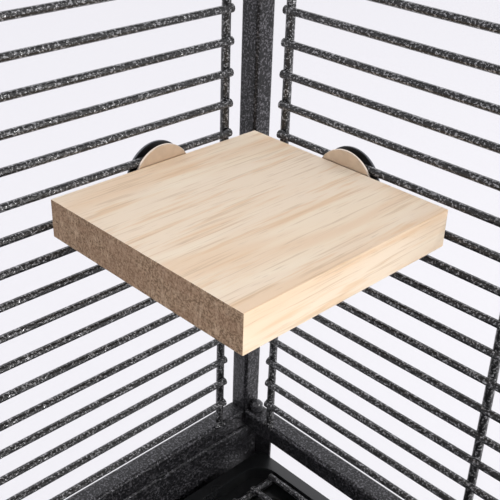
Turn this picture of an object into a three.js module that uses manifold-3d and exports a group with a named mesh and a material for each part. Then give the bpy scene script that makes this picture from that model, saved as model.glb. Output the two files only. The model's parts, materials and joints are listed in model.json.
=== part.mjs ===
// Wire bird cage on a rolling stand, with a wooden corner platform bolted to its back left corner.
// Units are millimetres, +Z is up, the front of the cage faces -Y and the floor is z = 0.
import * as THREE from 'three';
import { mergeVertices } from 'three/addons/utils/BufferGeometryUtils.js';
import Module from 'manifold-3d';

const wasm = await Module();
wasm.setup();

// ---- Driving dimensions ------------------------------------------------------------------------

const GAP = 0.3; // between pieces that touch in use

const PITCH = 16; // wire spacing
const WIRE = 3.85; // wall wires
const ROD = 4.8; // the thicker upright rods that the wires are welded to
const ROD_OUT = 5.9; // rods' outer sides from the wires' centre line
const ROD_DEPTH = ROD_OUT + WIRE / 2; // how deep a rod is, wires included
const WIRES = 47; // wires up each wall
const END_ROD = 18.6; // end rod's distance from the neighbouring wall's wires
const SECOND_ROD = 158; // second rod of the back wall, measured the same way

const TUBE = 12.7; // square tube of posts and rails
const TUBE_WALL = 1.2;
const TUBE_EDGE = 2.2; // bevel that stands for the tube's rounded edges
const WIRE_INSET = 2; // wires' centre line inside the tubes' inner faces
const FIRST_WIRE = 18.9; // first wire above the bottom rail's top

const CAGE_WIDTH = 762;
const CAGE_DEPTH = 508;
const OVERALL_HEIGHT = 1346;

const DOOR_HALF = 160; // doorway rods each side of the middle
const MAIN_DOOR = [3, 25]; // wires below and above the lower doorway
const UPPER_DOOR = [31, 41];
const DOOR_GAP = 2.5; // between a door's edge and the doorway's rod
const FEEDER = [24, 30]; // wires below and above each feeder opening
const FEEDER_ROD = 112; // outer side of a feeder opening, from the wall's middle
const HINGE_WALL = 1.8; // thickness of a hinge loop
const CUP = { width: 92, depth: 74, height: 55, wall: 2.2, corner: 14 };
const HOOK = { at: 22, half: 5, drop: 7 }; // cup hooks: place each side of the middle, size

const LATCH_OUT = 9; // latch pin from the doorway's rod
const LATCH_PIN = 2; // radius
const LATCH_PLATE = { half: 8, high: 9 };
const LATCH_FINGER = { half: 4.5, below: 5, above: 26, thick: 2.4 };
const LATCH_BOSS = { radius: 7, thick: 3.4 };
const LATCH_HEAD = 3.4; // radius of the pin's inner head

const BOLT_HEAD = { radius: 3.9, height: 5 }; // frame bolts
const BOLT_TIP = { radius: 2.9, height: 1.6 };

const LEG = 25.4; // square leg tube
const LEG_BOTTOM = 68;
const SHEET = 1.5; // sheet steel of the tray guides and the shelf
const LEDGE = 31; // tray ledge's inner edge, from the cage's side
const POST_PEG = 34; // how far the guides' pegs reach up into the posts
const LEG_PEG = 28; // and down into the legs

const TRAY_RIM_DROP = 23.6; // tray rim below the bottom rail
const TRAY_HEIGHT = 36;
const TRAY_WALL = 2.2;
const RIM = [-2.7, 12.8]; // rim's edges past the side walls' and the end walls' wires
const STEP = [-10.4, 5]; // the step's edges, measured the same way
const WELL = [-27.4, -3]; // and the well's
const PULL_LIP = { half: 70, out: 3, height: 20 };
const GRATE = [-23.4, 2.7]; // the grate's outer wires' centre lines, measured the same way
const GRATE_DROP = 26; // grate wires' centre below the bottom rail
const GRATE_WIRES = 31;

const SHELF_Z = 150;
const SHELF_SKIRT = 20; // height of the shelf's folded edges
const SHELF_INSET = 2; // shelf's edges inside the stand's outer faces

const WHEEL_RADIUS = 25;
const WHEEL_WIDTH = 18;
const CASTER_TRAIL = 18;
const AXLE_RADIUS = 3;
const AXLE_HEAD = { radius: 5, thick: 2 };
const STEM_RADIUS = 5;
const STEM_LENGTH = 30;
const FORK_PLATE = 2;
const FORK_CROWN = { back: 14, front: 12, thick: 3 }; // flat top of the fork, either side of the stem
const FORK_EYE = 8; // radius of the fork's ends round the axle

const BOARD = [125.5, 122, 18.7]; // platform along the side wall, along the back wall, thick
const BOARD_TOP_WIRE = 10.92; // board's top, counted in wire spacings above the first wire
const BOLT_ALONG = 65.4; // platform bolts from the neighbouring wall's wires
const BOLT_RADIUS = 3;
const WASHER_RADIUS = 17.4;
const WASHER_THICK = 1.25;
const BOLT_DEPTH = 32; // in the wood
const BOLT_OUT = 12; // past the outer washer
const WING_NUT = { hub: 6, height: 7, half: 15, wing: 5.5, thick: 3 };

const PERCH_RADIUS = 8;
const SLOT_PAST = 4; // how far a perch runs past the wires
const PERCHES = [
  { name: 'perch_high', axis: 'x', across: 130, wire: 42 },
  { name: 'perch_middle', axis: 'x', across: -150, wire: 35 },
  { name: 'perch_low', axis: 'y', across: 250, wire: 13 },
];

// ---- Places worked out from them ---------------------------------------------------------------

const HALF_W = CAGE_WIDTH / 2;
const HALF_D = CAGE_DEPTH / 2;
const WIRES_X = HALF_W - TUBE - WIRE_INSET; // centre line of the side walls' wires
const WIRES_Y = HALF_D - TUBE - WIRE_INSET; // centre line of the front and back walls' wires
const ROOF_TOP = OVERALL_HEIGHT;
const RAIL_TOP = ROOF_TOP - WIRE - GAP; // top of the upper rails
const LAST_WIRE = RAIL_TOP - TUBE - PITCH + WIRE / 2;
const WIRE_0 = LAST_WIRE - (WIRES - 1) * PITCH;
const RAIL = WIRE_0 - FIRST_WIRE - TUBE; // bottom of the lower rails
const wireZ = (k) => WIRE_0 + k * PITCH;

// ---- Materials ---------------------------------------------------------------------------------

const material = (color, roughness, metalness) =>
  new THREE.MeshStandardMaterial({ color, roughness, metalness });

const COAT = material('#2b2b2d', 0.5, 0.5); // hammertone powder coat
const BLACK_PLASTIC = material('#141517', 0.35, 0);
const CUP_PLASTIC = material('#3a3c40', 0.4, 0);
const PINE = material('#dcc19a', 0.65, 0);
const ZINC = material('#b9b6ae', 0.3, 1);
const RUBBER = material('#1b1b1c', 0.8, 0);

// ---- Solid modelling helpers -------------------------------------------------------------------

// A three.js geometry as a manifold, and back.
function toManifold(geometry) {
  const bare = new THREE.BufferGeometry();
  bare.setAttribute('position', geometry.getAttribute('position').clone());
  if (geometry.index) bare.setIndex(geometry.index.clone());
  const welded = mergeVertices(bare, 1e-4);
  const mesh = new wasm.Mesh({
    numProp: 3,
    vertProperties: new Float32Array(welded.getAttribute('position').array),
    triVerts: new Uint32Array(welded.index.array),
  });
  return new wasm.Manifold(mesh);
}

function toGeometry(manifold) {
  const mesh = manifold.getMesh();
  const geometry = new THREE.BufferGeometry();
  geometry.setAttribute('position', new THREE.BufferAttribute(new Float32Array(mesh.vertProperties), 3));
  geometry.setIndex(new THREE.BufferAttribute(new Uint32Array(mesh.triVerts), 1));
  geometry.computeVertexNormals();
  return geometry;
}

const solid = (geometry) => (geometry.isBufferGeometry ? toManifold(geometry) : geometry);
const union = (pieces) => wasm.Manifold.union(pieces.map(solid));
const subtract = (body, tools) => wasm.Manifold.difference(solid(body), union(tools));

// A box between two corners.
function box([x0, y0, z0], [x1, y1, z1]) {
  const geometry = new THREE.BoxGeometry(x1 - x0, y1 - y0, z1 - z0);
  return geometry.translate((x0 + x1) / 2, (y0 + y1) / 2, (z0 + z1) / 2);
}

// A round bar along an axis, from one place on that axis to another.
function bar(axis, radius, from, to, [a, b], sides = 16) {
  const geometry = new THREE.CylinderGeometry(radius, radius, to - from, sides);
  const middle = (from + to) / 2;
  if (axis === 'x') return geometry.rotateZ(-Math.PI / 2).translate(middle, a, b);
  if (axis === 'y') return geometry.translate(a, middle, b);
  return geometry.rotateX(Math.PI / 2).translate(a, b, middle);
}

// A rectangle with its corners cut or rounded, centred on the origin.
function cornered(width, depth, radius, steps) {
  const shape = [];
  for (let corner = 0; corner < 4; corner += 1) {
    const sx = corner === 0 || corner === 3 ? 1 : -1;
    const sy = corner < 2 ? 1 : -1;
    for (let step = 0; step <= steps; step += 1) {
      const angle = ((corner + step / steps) * Math.PI) / 2;
      const x = sx * (width / 2 - radius) + radius * Math.cos(angle);
      const y = sy * (depth / 2 - radius) + radius * Math.sin(angle);
      shape.push(new THREE.Vector2(x, y));
    }
  }
  return new THREE.Shape(shape);
}

// An outline pulled up from z = bottom to z = top.
function extrude(shape, bottom, top) {
  const options = { depth: top - bottom, bevelEnabled: false, curveSegments: 5 };
  const geometry = new THREE.ExtrudeGeometry(shape, options);
  return geometry.translate(0, 0, bottom);
}

// A square tube standing on z = 0, with bevelled outer edges and an open bore.
function squareTube(side, length, wall) {
  const shape = cornered(side, side, TUBE_EDGE, 1);
  const bore = side / 2 - wall;
  const corners = [[-bore, -bore], [-bore, bore], [bore, bore], [bore, -bore]];
  shape.holes.push(new THREE.Path(corners.map(([x, y]) => new THREE.Vector2(x, y))));
  return extrude(shape, 0, length);
}

const root = new THREE.Group();

// Adds a named node. Geometry is in its final place unless a group is given.
function add(name, body, look, parent = root) {
  const geometry = body.isBufferGeometry ? body : toGeometry(body);
  const mesh = new THREE.Mesh(geometry, look);
  mesh.name = name;
  parent.add(mesh);
  return mesh;
}

// A group that turns wall coordinates (x along the wall, y outward, z up) into the cage's.
function wallFrame(distance, turn) {
  const group = new THREE.Group();
  group.rotation.z = turn;
  group.position.set(-distance * Math.sin(turn), distance * Math.cos(turn), 0);
  root.add(group);
  return group;
}

const BACK = wallFrame(WIRES_Y, 0);
const LEFT = wallFrame(WIRES_X, Math.PI / 2);
const FRONT = wallFrame(WIRES_Y, Math.PI);
const RIGHT = wallFrame(WIRES_X, -Math.PI / 2);

// ---- Wire work ---------------------------------------------------------------------------------

// A wire along x between two rods, and an upright rod, in wall coordinates.
const wire = (x0, x1, z) => box([x0, -WIRE / 2, z - WIRE / 2], [x1, WIRE / 2, z + WIRE / 2]);
const rod = (x, z0, z1) => box([x - ROD / 2, -WIRE / 2, z0], [x + ROD / 2, ROD_OUT, z1]);

// A welded wall: two rails, upright rods, wires, and doorways {x0, x1, wires: [below, above]}.
function wall(halfRail, rods, shortRods, doorways) {
  const pieces = [];
  const tubeCentre = WIRE_INSET + TUBE / 2;
  for (const z of [RAIL, RAIL_TOP - TUBE]) {
    const rail = squareTube(TUBE, 2 * halfRail, TUBE_WALL).rotateY(Math.PI / 2);
    pieces.push(rail.translate(-halfRail, tubeCentre, z + TUBE / 2));
  }
  const bottom = RAIL + TUBE - TUBE_EDGE;
  for (const x of rods) pieces.push(rod(x, bottom, RAIL_TOP - TUBE + TUBE_EDGE));
  for (const [x, below, above] of shortRods) pieces.push(rod(x, wireZ(below), wireZ(above)));
  for (let k = 0; k < WIRES; k += 1) {
    const gaps = doorways.filter((door) => k > door.wires[0] && k < door.wires[1]);
    let start = rods[0];
    for (const door of gaps.sort((a, b) => a.x0 - b.x0)) {
      if (door.x0 > start) pieces.push(wire(start, door.x0, wireZ(k)));
      start = door.x1;
    }
    if (start < rods[rods.length - 1]) pieces.push(wire(start, rods[rods.length - 1], wireZ(k)));
  }
  return pieces;
}

// A hinge loop: a flat ring round an axis along x or z, clear of a bar of that width and depth.
const LOOP_SIDES = 8;
const loopBore = (width, depth) => Math.hypot(width, depth) / 2 / Math.cos(Math.PI / LOOP_SIDES) + GAP;
function loop(axis, centre, bore, from, to) {
  const ring = bar(axis, bore + HINGE_WALL, from, to, centre, LOOP_SIDES);
  return subtract(ring, [bar(axis, bore, from - 1, to + 1, centre, LOOP_SIDES)]);
}

// ---- Walls and roof ----------------------------------------------------------------------------

const RAIL_HALF_W = HALF_W - TUBE - GAP;
const RAIL_HALF_D = HALF_D - TUBE - GAP;
const endRodW = WIRES_X - END_ROD;
const endRodD = WIRES_Y - END_ROD;
const secondRod = WIRES_X - SECOND_ROD;

add('back_wall', union(wall(RAIL_HALF_W, [-endRodW, -secondRod, secondRod, endRodW], [], [])), COAT, BACK);

const feederways = [-1, 1].map((side) => ({
  x0: Math.min(0, side * FEEDER_ROD),
  x1: Math.max(0, side * FEEDER_ROD),
  wires: FEEDER,
}));
const feederRods = [[-FEEDER_ROD, ...FEEDER], [FEEDER_ROD, ...FEEDER]];
for (const [name, frame] of [['left_wall', LEFT], ['right_wall', RIGHT]]) {
  add(name, union(wall(RAIL_HALF_D, [-endRodD, 0, endRodD], feederRods, feederways)), COAT, frame);
}

// The front wall carries a pierced plate beside each doorway for the door's turn latch.
const LATCH_X = -DOOR_HALF - LATCH_OUT;
const PLATE_OUT = ROD_OUT; // plates lie on the rods
const latchZ = (door) => wireZ(Math.floor((door[0] + door[1]) / 2) + 0.5);

function latchPlate(door) {
  const z = latchZ(door);
  const low = [LATCH_X - LATCH_PLATE.half, PLATE_OUT - 0.5, z - LATCH_PLATE.high];
  const blank = box(low, [-DOOR_HALF + ROD / 2, PLATE_OUT + SHEET, z + LATCH_PLATE.high]);
  return subtract(blank, [bar('y', LATCH_PIN + GAP, 0, PLATE_OUT + 10, [LATCH_X, z], 12)]);
}

const doorways = [MAIN_DOOR, UPPER_DOOR].map((wires) => ({ x0: -DOOR_HALF, x1: DOOR_HALF, wires }));
const frontRods = [-endRodW, -DOOR_HALF, DOOR_HALF, endRodW];
const frontPieces = wall(RAIL_HALF_W, frontRods, [], doorways);
add('front_wall', union([...frontPieces, latchPlate(MAIN_DOOR), latchPlate(UPPER_DOOR)]), COAT, FRONT);

// The roof's wires run front to back between two rods that lie on the front and back upper rails.
function roof() {
  const count = Math.floor((WIRES_X + WIRE_INSET) / PITCH);
  const reach = count * PITCH + WIRE / 2;
  const rodY = WIRES_Y + WIRE_INSET + TUBE / 2;
  const panel = box([-reach, -rodY - ROD / 2, RAIL_TOP + GAP], [reach, rodY + ROD / 2, ROOF_TOP]);
  const openings = [];
  for (let k = -count; k < count; k += 1) {
    const [x0, x1] = [k * PITCH + WIRE / 2, (k + 1) * PITCH - WIRE / 2];
    openings.push(box([x0, -rodY + ROD / 2, RAIL_TOP - 1], [x1, rodY - ROD / 2, ROOF_TOP + 1]));
  }
  return subtract(panel, openings);
}
add('roof', roof(), COAT);

// ---- Doors, latches and feeder flaps -----------------------------------------------------------

// A front door hangs on the doorway rod at its hinge side. Seen from outside, that is the left one,
// which is +x in the front wall's coordinates.
function frontDoor([below, above]) {
  const edge = DOOR_HALF - ROD / 2 - DOOR_GAP - ROD / 2;
  const z0 = wireZ(below + 1);
  const z1 = wireZ(above - 1);
  const pieces = [-edge, 0, edge].map((x) => rod(x, z0, z1));
  for (let z = z0; z < z1 + 1; z += PITCH) pieces.push(wire(-edge, edge, z));
  const centreY = ROD_DEPTH / 2 - WIRE / 2;
  for (const z of [z0 + PITCH / 2, z1 - PITCH / 2]) {
    pieces.push(loop('z', [DOOR_HALF, centreY], loopBore(ROD, ROD_DEPTH), z - 4, z + 4));
  }
  return union(pieces);
}
add('main_door', frontDoor(MAIN_DOOR), COAT, FRONT);
add('upper_door', frontDoor(UPPER_DOOR), COAT, FRONT);

// A turn latch: a finger on a headed pin through the latch plate, drawn released and upright.
function latch(door) {
  const z = latchZ(door);
  const outer = PLATE_OUT + SHEET + GAP;
  const { half, below, above, thick } = LATCH_FINGER;
  return union([
    box([LATCH_X - half, outer, z - below], [LATCH_X + half, outer + thick, z + above]),
    bar('y', LATCH_BOSS.radius, outer, outer + LATCH_BOSS.thick, [LATCH_X, z], 16),
    bar('y', LATCH_PIN, PLATE_OUT - 1.5, outer + 1, [LATCH_X, z], 12),
    bar('y', LATCH_HEAD, PLATE_OUT - 2.4, PLATE_OUT - 0.5 - GAP, [LATCH_X, z], 12),
  ]);
}
add('main_latch', latch(MAIN_DOOR), ZINC, FRONT);
add('upper_latch', latch(UPPER_DOOR), ZINC, FRONT);

// A feeder flap hangs from the wire above its opening and stops against the rods beside it.
function feederFlap(centre) {
  const edge = FEEDER_ROD / 2 - ROD - 1.5;
  const z0 = wireZ(FEEDER[0] + 1);
  const z1 = wireZ(FEEDER[1] - 1);
  const hinge = wireZ(FEEDER[1]);
  const pieces = [-edge, edge].map((x) => rod(centre + x, z0, z1));
  for (let z = z0; z < z1 + 1; z += PITCH) pieces.push(wire(centre - edge, centre + edge, z));
  const bore = loopBore(WIRE, WIRE);
  for (const x of [centre - edge + 14, centre + edge - 14]) {
    pieces.push(loop('x', [0, hinge], bore, x - 2, x + 2));
    pieces.push(box([x - 2, -WIRE / 2, z1], [x + 2, WIRE / 2, hinge - bore - 0.6]));
  }
  const stop = ROD_OUT + GAP;
  for (const x of [-edge, edge]) {
    pieces.push(box([centre + x - ROD / 2, 0, z0], [centre + x + ROD / 2, stop + 1, z0 + ROD]));
  }
  const reach = FEEDER_ROD / 2 - 0.5;
  pieces.push(box([centre - reach, stop, z0], [centre + reach, stop + WIRE, z0 + ROD]));
  return union(pieces);
}

// A feed cup hangs inside by two hooks over the wire below its opening.
function cup(centre) {
  const top = wireZ(FEEDER[0]) + WIRE / 2 + GAP;
  const back = -WIRE / 2 - GAP;
  const middle = back - CUP.depth / 2;
  const outer = extrude(cornered(CUP.width, CUP.depth, CUP.corner, 3), top - CUP.height, top);
  const inside = cornered(CUP.width - 2 * CUP.wall, CUP.depth - 2 * CUP.wall, CUP.corner - CUP.wall, 3);
  const inner = extrude(inside, top - CUP.height + CUP.wall, top + 1);
  const shell = subtract(outer.translate(centre, middle, 0), [inner.translate(centre, middle, 0)]);
  const [inY, outY] = [back - CUP.wall, -back + CUP.wall];
  const hooks = [centre - HOOK.at, centre + HOOK.at].flatMap((x) => [
    box([x - HOOK.half, inY, top - 3], [x + HOOK.half, back, top + CUP.wall]),
    box([x - HOOK.half, inY, top], [x + HOOK.half, outY, top + CUP.wall]),
    box([x - HOOK.half, -back, top - HOOK.drop], [x + HOOK.half, outY, top + CUP.wall]),
  ]);
  return union([shell, ...hooks]);
}

for (const [side, frame, sign] of [['left', LEFT, 1], ['right', RIGHT, -1]]) {
  for (const [end, way] of [['back', 1], ['front', -1]]) {
    const centre = (sign * way * FEEDER_ROD) / 2;
    add(`feeder_flap_${side}_${end}`, feederFlap(centre), COAT, frame);
    add(`feed_cup_${side}_${end}`, cup(centre), CUP_PLASTIC, frame);
  }
}

// ---- Corner posts, frame bolts, tray guides, tray and grate --------------------------------------

const CORNERS = [['front_left', -1, -1], ['front_right', 1, -1], ['back_left', -1, 1], ['back_right', 1, 1]];
const postX = HALF_W - TUBE / 2;
const postY = HALF_D - TUBE / 2;
const BOLT_X = HALF_W - TUBE - BOLT_HEAD.radius - GAP; // frame bolts, beside the posts
const BOLT_Y = WIRES_Y + WIRE_INSET + TUBE / 2;

for (const [name, sx, sy] of CORNERS) {
  const post = squareTube(TUBE, RAIL_TOP - RAIL, TUBE_WALL);
  add(`post_${name}`, post.translate(sx * postX, sy * postY, RAIL), COAT);
}

// A side guide: a tube under the side rail, an apron sheet under the tube's inner face, a ledge for
// the tray, an end plate at each end, pegs up into the posts and pegs down into the legs. The front
// end plates stop above the tray so that it slides out.
const TRAY_BOTTOM = RAIL - TRAY_RIM_DROP - TRAY_HEIGHT;
const LEDGE_TOP = TRAY_BOTTOM - GAP;
const RIM_TOP = RAIL - TRAY_RIM_DROP;
const PEG_HALF = TUBE / 2 - TUBE_WALL - GAP;
const LEG_PEG_HALF = LEG / 2 - TUBE_WALL - 2 * GAP;

function sideGuide(side) {
  const inner = HALF_W - TUBE;
  const top = RAIL - GAP;
  const span = (x0, x1, y0, y1, z0, z1) =>
    box([Math.min(side * x0, side * x1), y0, z0], [Math.max(side * x0, side * x1), y1, z1]);
  const pieces = [
    span(inner, HALF_W, -HALF_D, HALF_D, top - TUBE, top),
    span(inner, inner + SHEET, -HALF_D, HALF_D, LEDGE_TOP - SHEET, top - 1),
    span(HALF_W - LEDGE, HALF_W, -HALF_D, HALF_D, LEDGE_TOP - SHEET, LEDGE_TOP),
    span(HALF_W - LEG, HALF_W, -HALF_D, -HALF_D + SHEET, RIM_TOP + 0.5, top),
    span(HALF_W - LEG, HALF_W, HALF_D - SHEET, HALF_D, LEDGE_TOP - SHEET, top),
  ];
  const peg = (x, y, half, z0, z1) => span(x - half, x + half, y - half, y + half, z0, z1);
  for (const end of [-1, 1]) {
    pieces.push(peg(postX, end * postY, PEG_HALF, top - 1, RAIL + POST_PEG));
    const [legX, legY] = [HALF_W - LEG / 2, end * (HALF_D - LEG / 2)];
    pieces.push(peg(legX, legY, LEG_PEG_HALF, LEDGE_TOP - LEG_PEG, LEDGE_TOP - 0.5));
  }
  return union(pieces);
}
add('side_guide_left', sideGuide(-1), COAT);
add('side_guide_right', sideGuide(1), COAT);

// The tray: a rim, a shallow step that carries the grate, a deep well and a pull lip in front.
const GRATE_Z = RAIL - GRATE_DROP;
const STEP_Z = GRATE_Z + WIRE / 2 - ROD_DEPTH - GAP;

// An outline whose edges lie past the walls' wires, with rounded corners.
function trayOutline([side, end], radius, steps) {
  return cornered(2 * (WIRES_X + side), 2 * (WIRES_Y + end), radius, steps);
}

function tray() {
  const shell = STEP.map((edge) => edge + TRAY_WALL);
  const front = -WIRES_Y - RIM[1];
  const lip = [-PULL_LIP.half, front - PULL_LIP.out, RIM_TOP - PULL_LIP.height];
  const outside = union([
    extrude(trayOutline(RIM, 5, 1), RIM_TOP - TRAY_WALL, RIM_TOP),
    extrude(trayOutline(shell, 16, 4), TRAY_BOTTOM, RIM_TOP - 1),
    box(lip, [PULL_LIP.half, front + 1, RIM_TOP]),
  ]);
  return subtract(outside, [
    extrude(trayOutline(STEP, 14, 4), STEP_Z, RIM_TOP + 1),
    extrude(trayOutline(WELL, 14, 4), TRAY_BOTTOM + TRAY_WALL, STEP_Z + 1),
  ]);
}
add('tray', tray(), BLACK_PLASTIC);

function grate() {
  const sideX = WIRES_X + GRATE[0];
  const halfY = WIRES_Y + GRATE[1];
  const pieces = [];
  for (let i = 0; i < GRATE_WIRES; i += 1) {
    const y = halfY - (2 * halfY * i) / (GRATE_WIRES - 1);
    pieces.push(box([-sideX, y - WIRE / 2, GRATE_Z - WIRE / 2], [sideX, y + WIRE / 2, GRATE_Z + WIRE / 2]));
  }
  for (const x of [-sideX, 0, sideX]) {
    const low = GRATE_Z + WIRE / 2 - ROD_DEPTH;
    pieces.push(box([x - ROD / 2, -halfY, low], [x + ROD / 2, halfY, GRATE_Z + WIRE / 2]));
  }
  return union(pieces);
}
add('grate', grate(), COAT);

// Round-headed bolts stand on the front and back rails beside the posts.
for (const [name, sx, sy] of CORNERS) {
  const z = RAIL + TUBE + GAP;
  const top = z + BOLT_HEAD.height;
  const head = bar('z', BOLT_HEAD.radius, z, top, [sx * BOLT_X, sy * BOLT_Y], 12);
  const tip = bar('z', BOLT_TIP.radius, top - 0.5, top + BOLT_TIP.height, [sx * BOLT_X, sy * BOLT_Y], 12);
  add(`frame_bolt_${name}`, union([head, tip]), COAT);
}

// ---- Stand -------------------------------------------------------------------------------------

for (const [name, sx, sy] of CORNERS) {
  const top = LEDGE_TOP - SHEET - GAP;
  const tube = squareTube(LEG, top - LEG_BOTTOM, TUBE_WALL);
  const inside = LEG / 2 - TUBE_WALL + GAP;
  const foot = box([-inside, -inside, 0], [inside, inside, STEM_LENGTH + 4]);
  const bore = bar('z', STEM_RADIUS + GAP, -1, STEM_LENGTH + 1, [0, 0], 12);
  const leg = union([tube, subtract(foot, [bore])]);
  const place = [sx * (HALF_W - LEG / 2), sy * (HALF_D - LEG / 2), LEG_BOTTOM];
  add(`leg_${name}`, leg.translate(place), COAT);
}

// The shelf is a folded sheet that runs between the legs and out to the stand's edges.
function shelf() {
  const [inX, inY] = [HALF_W - LEG - GAP, HALF_D - LEG - GAP];
  const [outX, outY] = [HALF_W - SHELF_INSET, HALF_D - SHELF_INSET];
  const cross = (shrink, z0, z1) => [
    box([-inX + shrink, -outY + shrink, z0], [inX - shrink, outY - shrink, z1]),
    box([-outX + shrink, -inY + shrink, z0], [outX - shrink, inY - shrink, z1]),
  ];
  const bottom = SHELF_Z - SHELF_SKIRT;
  return subtract(union(cross(0, bottom, SHELF_Z)), cross(SHEET, bottom - 1, SHELF_Z - SHEET));
}
add('bottom_shelf', shelf(), COAT);

// A caster: a stem and a fork that swivel in the leg, an axle held in the fork and a wheel on it.
const FORK_IN = WHEEL_WIDTH / 2 + 1;
const FORK_OUT = FORK_IN + FORK_PLATE;
const FORK_TOP = LEG_BOTTOM - GAP;

function fork(x, y) {
  const { back, front, thick } = FORK_CROWN;
  const hubZ = WHEEL_RADIUS - FORK_TOP;
  const cheek = new THREE.Shape();
  cheek.moveTo(-back, 0);
  cheek.lineTo(front, 0);
  cheek.lineTo(CASTER_TRAIL + FORK_EYE, hubZ + 2);
  cheek.absarc(CASTER_TRAIL, hubZ, FORK_EYE, 0, -Math.PI, true);
  const cheeks = [FORK_OUT, -FORK_IN].map((out) => {
    const plate = extrude(cheek, 0, FORK_PLATE).rotateX(Math.PI / 2);
    return plate.translate(x, y + out, FORK_TOP);
  });
  const body = union([
    ...cheeks,
    box([x - back, y - FORK_OUT, FORK_TOP - thick], [x + front, y + FORK_OUT, FORK_TOP]),
    bar('z', STEM_RADIUS, FORK_TOP - 1, FORK_TOP + STEM_LENGTH, [x, y], 12),
  ]);
  const hub = [x + CASTER_TRAIL, WHEEL_RADIUS];
  return subtract(body, [bar('y', AXLE_RADIUS + GAP, y - 20, y + 20, hub, 12)]);
}

function wheel(x, y) {
  const half = WHEEL_WIDTH / 2;
  const r = WHEEL_RADIUS;
  const bore = AXLE_RADIUS + GAP;
  const flat = 0.7 * r; // where the tyre's rounding starts
  const outline = [[bore, -half], [flat, -half], [r - 2, -half + 1], [r, -half + 4], [r, half - 4],
    [r - 2, half - 1], [flat, half], [bore, half], [bore, -half]];
  const profile = outline.map(([radius, along]) => new THREE.Vector2(radius, along));
  return new THREE.LatheGeometry(profile, 18).translate(x, y, WHEEL_RADIUS);
}

function axle(x, y) {
  const end = FORK_OUT + GAP;
  const hub = [x, WHEEL_RADIUS];
  const { radius, thick } = AXLE_HEAD;
  return union([
    bar('y', AXLE_RADIUS, y - end, y + end, hub, 12),
    bar('y', radius, y - end - thick, y - end, hub, 12),
    bar('y', radius, y + end, y + end + thick, hub, 12),
  ]);
}

for (const [name, sx, sy] of CORNERS) {
  const [x, y] = [sx * (HALF_W - LEG / 2), sy * (HALF_D - LEG / 2)];
  const trail = -sx * CASTER_TRAIL; // every caster is drawn trailing inward
  const turned = new THREE.Group();
  turned.position.set(x, y, 0);
  turned.rotation.z = trail < 0 ? Math.PI : 0;
  root.add(turned);
  add(`caster_fork_${name}`, fork(0, 0), ZINC, turned);
  add(`caster_wheel_${name}`, wheel(CASTER_TRAIL, 0), RUBBER, turned);
  add(`caster_axle_${name}`, axle(CASTER_TRAIL, 0), ZINC, turned);
}

// ---- Corner platform ---------------------------------------------------------------------------

const BOARD_EDGE = WIRE / 2 + GAP + WASHER_THICK + GAP; // board's back edges inside the wires
const BOARD_TOP = WIRE_0 + BOARD_TOP_WIRE * PITCH;
const BOLT_Z = BOARD_TOP - BOARD[2] / 2;
const NUT_OUT = WIRE / 2 + 2 * GAP + WASHER_THICK;

function platform() {
  const [x0, y1] = [-WIRES_X + BOARD_EDGE, WIRES_Y - BOARD_EDGE];
  const blank = box([x0, y1 - BOARD[0], BOARD_TOP - BOARD[2]], [x0 + BOARD[1], y1, BOARD_TOP]);
  const r = BOLT_RADIUS + GAP;
  return subtract(blank, [
    bar('x', r, x0 - 1, x0 + BOLT_DEPTH + 1, [WIRES_Y - BOLT_ALONG, BOLT_Z], 12),
    bar('y', r, y1 - BOLT_DEPTH - 1, y1 + 1, [-WIRES_X + BOLT_ALONG, BOLT_Z], 12),
  ]);
}
add('platform_board', platform(), PINE);

// A wing nut on an axis along y, its face at y = from.
function wingNut(from, [x, z]) {
  const { hub, height, half, wing, thick } = WING_NUT;
  const body = bar('y', hub, from, from + height, [x, z], 16);
  const wings = box([x - half, from + 1, z - thick / 2], [x + half, from + 1 + wing, z + thick / 2]);
  return subtract(union([body, wings]), [bar('y', BOLT_RADIUS + GAP, from - 1, from + 20, [x, z], 12)]);
}

// The bolts lie along y in wall coordinates: screwed into the board, out past the wing nut.
for (const [name, frame, along] of [['left', LEFT, WIRES_Y], ['back', BACK, -WIRES_X]]) {
  const x = along < 0 ? along + BOLT_ALONG : along - BOLT_ALONG;
  const at = [x, BOLT_Z];
  const ring = (from) => subtract(bar('y', WASHER_RADIUS, from, from + WASHER_THICK, at, 28),
    [bar('y', BOLT_RADIUS + GAP, from - 1, from + 3, at, 8)]);
  const bolt = bar('y', BOLT_RADIUS, -BOARD_EDGE - BOLT_DEPTH, NUT_OUT + BOLT_OUT, at, 12);
  add(`platform_bolt_${name}`, bolt, ZINC, frame);
  add(`inner_washer_${name}`, ring(-WIRE / 2 - GAP - WASHER_THICK), ZINC, frame);
  add(`outer_washer_${name}`, ring(WIRE / 2 + GAP), ZINC, frame);
  add(`wing_nut_${name}`, wingNut(NUT_OUT + GAP, at), ZINC, frame);
}

// ---- Perches -----------------------------------------------------------------------------------

// A dowel along x or y, slotted at both ends so that it hangs on one wire of each wall.
function perch(axis, across, z, wires) {
  const end = wires + SLOT_PAST;
  const slotZ = WIRE / 2 + GAP;
  const deep = wires - WIRE / 2 - GAP;
  const dowel = bar(axis, PERCH_RADIUS, -end, end, [across, z], 12);
  const slots = [-1, 1].map((side) => {
    const [a, b] = [Math.min(side * deep, side * (end + 1)), Math.max(side * deep, side * (end + 1))];
    const wide = PERCH_RADIUS + 1;
    if (axis === 'x') return box([a, across - wide, z - slotZ], [b, across + wide, z + slotZ]);
    return box([across - wide, a, z - slotZ], [across + wide, b, z + slotZ]);
  });
  return subtract(dowel, slots);
}
for (const { name, axis, across, wire: k } of PERCHES) {
  add(name, perch(axis, across, wireZ(k), axis === 'x' ? WIRES_X : WIRES_Y), PINE);
}

export default root;
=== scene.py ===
"""The looks of a wire bird cage on a rolling stand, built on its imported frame. Units are metres."""

import json
import math

import bmesh
import bpy
from mathutils import Matrix, Vector

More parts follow.
